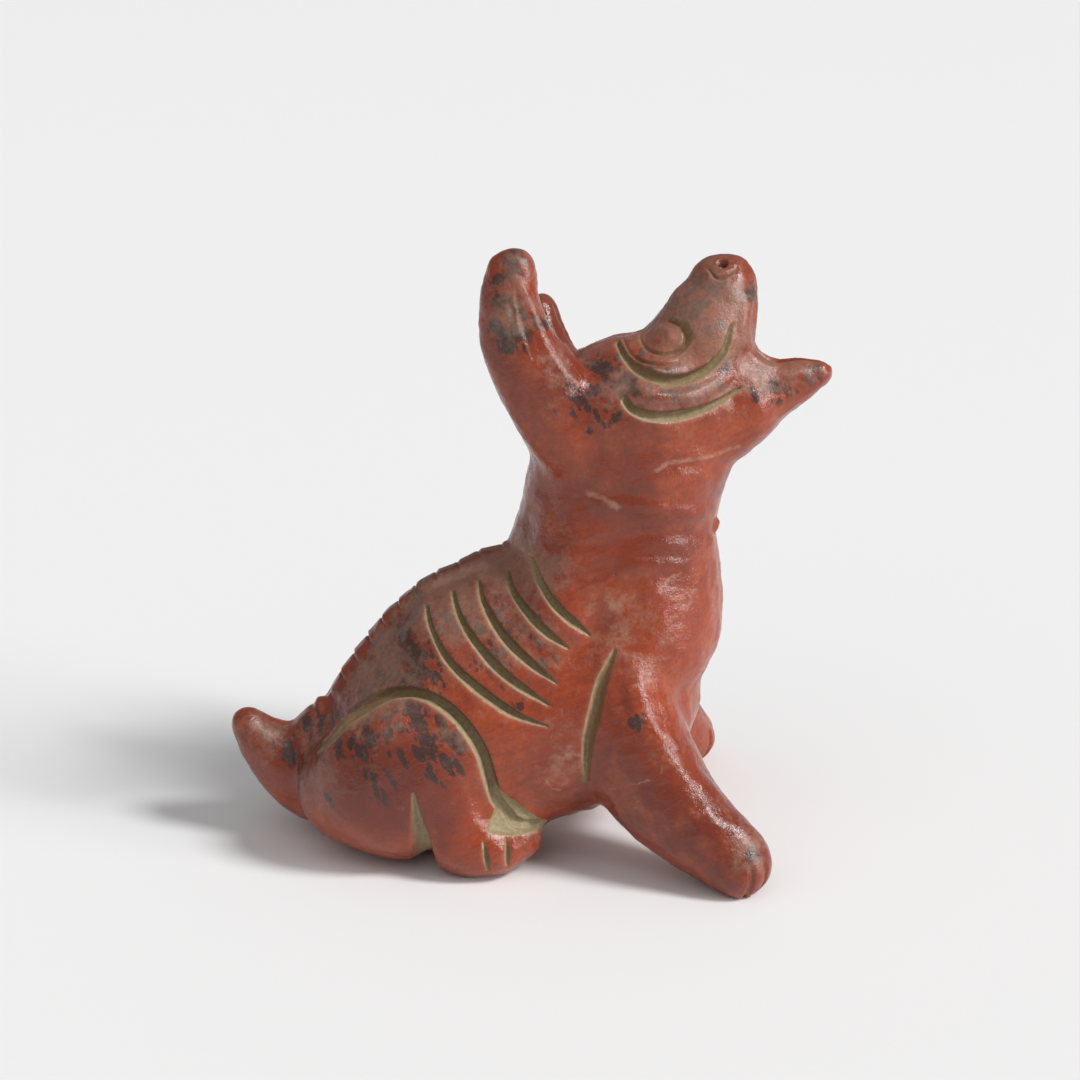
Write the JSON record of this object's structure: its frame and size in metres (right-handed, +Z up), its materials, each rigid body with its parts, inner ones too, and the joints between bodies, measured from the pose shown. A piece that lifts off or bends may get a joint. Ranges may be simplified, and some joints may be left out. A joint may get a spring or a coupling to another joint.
{
  "type": "seated dog figure",
  "caption": "Seated howling dog figure in burnished red earthenware, modelled in the round with carved ribs, toothed spine and splayed forelegs, standing on its own feet and haunches.",
  "frame": {"origin": "on the ground plane the figure rests on, at the middle of its plan", "axes": "+X the way the dog faces, its lower jaw furthest forward, +Y its left flank, +Z up"},
  "size_m": [0.0928, 0.0593, 0.0949],
  "materials": {
    "burnished_redware": "burnished slip, satin, with dark mineral blotches and pale clay left in the carving"
  },
  "bodies": {
    "root": {"dog_figure": "burnished_redware"}
  },
  "joints": []
}
